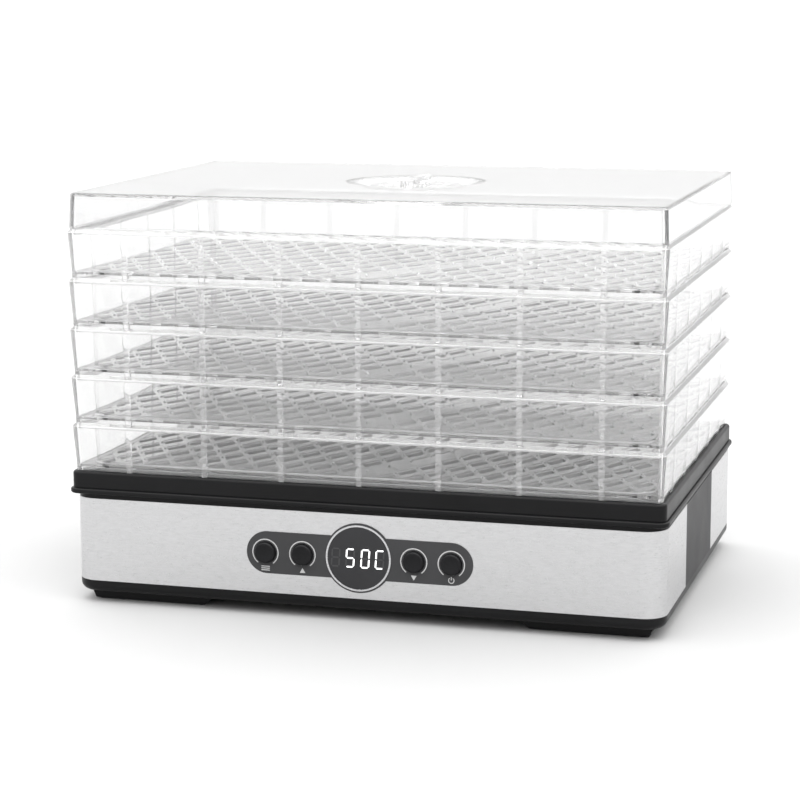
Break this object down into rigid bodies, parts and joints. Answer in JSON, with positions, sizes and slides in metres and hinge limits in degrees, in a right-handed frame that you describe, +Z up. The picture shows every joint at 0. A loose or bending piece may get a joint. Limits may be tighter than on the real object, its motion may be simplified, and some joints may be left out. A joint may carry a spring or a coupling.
{
  "type": "food dehydrator",
  "caption": "Rectangular electric food dehydrator: black base with brushed steel skin, round display and buttons, stacked clear slotted trays and a clear lid with a vent.",
  "frame": {"origin": "on the table, under the middle of the base", "axes": "+Z up, -Y towards the user and the control panel, +X to the user's right"},
  "size_m": [0.445, 0.3172, 0.306],
  "materials": {
    "black_plastic": "satin black ABS",
    "panel_plastic": "fine-textured black",
    "steel": "horizontal brushed",
    "clear_plastic": "clear moulded",
    "rubber": "matte",
    "zinc": "zinc plated",
    "fascia": "dark grey satin",
    "lens": "smoked gloss",
    "trim": "bright ring",
    "button_black": "satin",
    "circuit": "circuit board",
    "component": "moulded component",
    "motor_steel": "plated can",
    "fan_plastic": "glass-filled nylon",
    "duct_metal": "sheet",
    "mica": "mica sheet",
    "heating_wire": "resistance wire"
  },
  "bodies": {
    "base": {"base_tub": "black_plastic", "steel_skin_front": "steel", "steel_skin_rear": "steel", "side_panel_left": "panel_plastic", "side_panel_right": "panel_plastic", "service_panel": "panel_plastic", "cord_gland": "rubber", "top_deck": "black_plastic", "outlet_grille": "black_plastic", "intake_grille": "black_plastic", "foot_front_left": "black_plastic", "foot_front_right": "black_plastic", "foot_rear_left": "black_plastic", "foot_rear_right": "black_plastic", "foot_pads": "rubber", "base_screws": "zinc", "control_fascia": "fascia", "display_lens": "lens", "display_ring": "trim", "display_module": "component", "control_board": "circuit", "board_screws": "zinc", "button_switches": "component", "fan_duct": "duct_metal", "fan_bracket": "duct_metal", "fan_motor": "motor_steel", "fan_screws": "zinc", "heater_frame": "mica", "heater_coils": "heating_wire", "thermal_cutout": "component", "temperature_sensor": "component", "power_board": "circuit", "power_components": "component"},
    "fan_rotor": {"motor_shaft": "zinc", "fan_impeller": "fan_plastic"},
    "set_button": {"button_set": "button_black"},
    "up_button": {"button_up": "button_black"},
    "down_button": {"button_down": "button_black"},
    "power_button": {"button_power": "button_black"},
    "lid": {"lid": "clear_plastic", "vent_seat": "clear_plastic"},
    "vent": {"vent_dial": "clear_plastic", "vent_rivet": "clear_plastic"},
    "tray_1": {"tray_1_walls": "clear_plastic", "tray_1_floor": "clear_plastic"},
    "tray_2": {"tray_2_walls": "clear_plastic", "tray_2_floor": "clear_plastic"},
    "tray_3": {"tray_3_walls": "clear_plastic", "tray_3_floor": "clear_plastic"},
    "tray_4": {"tray_4_walls": "clear_plastic", "tray_4_floor": "clear_plastic"},
    "tray_5": {"tray_5_walls": "clear_plastic", "tray_5_floor": "clear_plastic"}
  },
  "joints": [
    {"name": "fan_spin", "type": "hinge", "parent": "base", "child": "fan_rotor", "pos_m": [0, 0, 0.06], "axis": [0, 0, 1], "continuous": true},
    {"name": "press_set", "type": "slide", "parent": "base", "child": "set_button", "axis": [0, 1, 0], "range_m": [0, 0.001], "stiffness_N_per_m": 800},
    {"name": "press_up", "type": "slide", "parent": "base", "child": "up_button", "axis": [0, 1, 0], "range_m": [0, 0.001], "stiffness_N_per_m": 800},
    {"name": "press_down", "type": "slide", "parent": "base", "child": "down_button", "axis": [0, 1, 0], "range_m": [0, 0.001], "stiffness_N_per_m": 800},
    {"name": "press_power", "type": "slide", "parent": "base", "child": "power_button", "axis": [0, 1, 0], "range_m": [0, 0.001], "stiffness_N_per_m": 800},
    {"name": "lift_tray_1", "type": "slide", "parent": "base", "child": "tray_1", "axis": [0, 0, 1], "range_m": [0, 0.045]},
    {"name": "lift_tray_2", "type": "slide", "parent": "tray_1", "child": "tray_2", "axis": [0, 0, 1], "range_m": [0, 0.045]},
    {"name": "lift_tray_3", "type": "slide", "parent": "tray_2", "child": "tray_3", "axis": [0, 0, 1], "range_m": [0, 0.045]},
    {"name": "lift_tray_4", "type": "slide", "parent": "tray_3", "child": "tray_4", "axis": [0, 0, 1], "range_m": [0, 0.045]},
    {"name": "lift_tray_5", "type": "slide", "parent": "tray_4", "child": "tray_5", "axis": [0, 0, 1], "range_m": [0, 0.045]},
    {"name": "lift_lid", "type": "slide", "parent": "tray_5", "child": "lid", "axis": [0, 0, 1], "range_m": [0, 0.045]},
    {"name": "turn_vent", "type": "hinge", "parent": "lid", "child": "vent", "pos_m": [0, 0, 0.3], "axis": [0, 0, 1], "range_deg": [0, 30]}
  ]
}
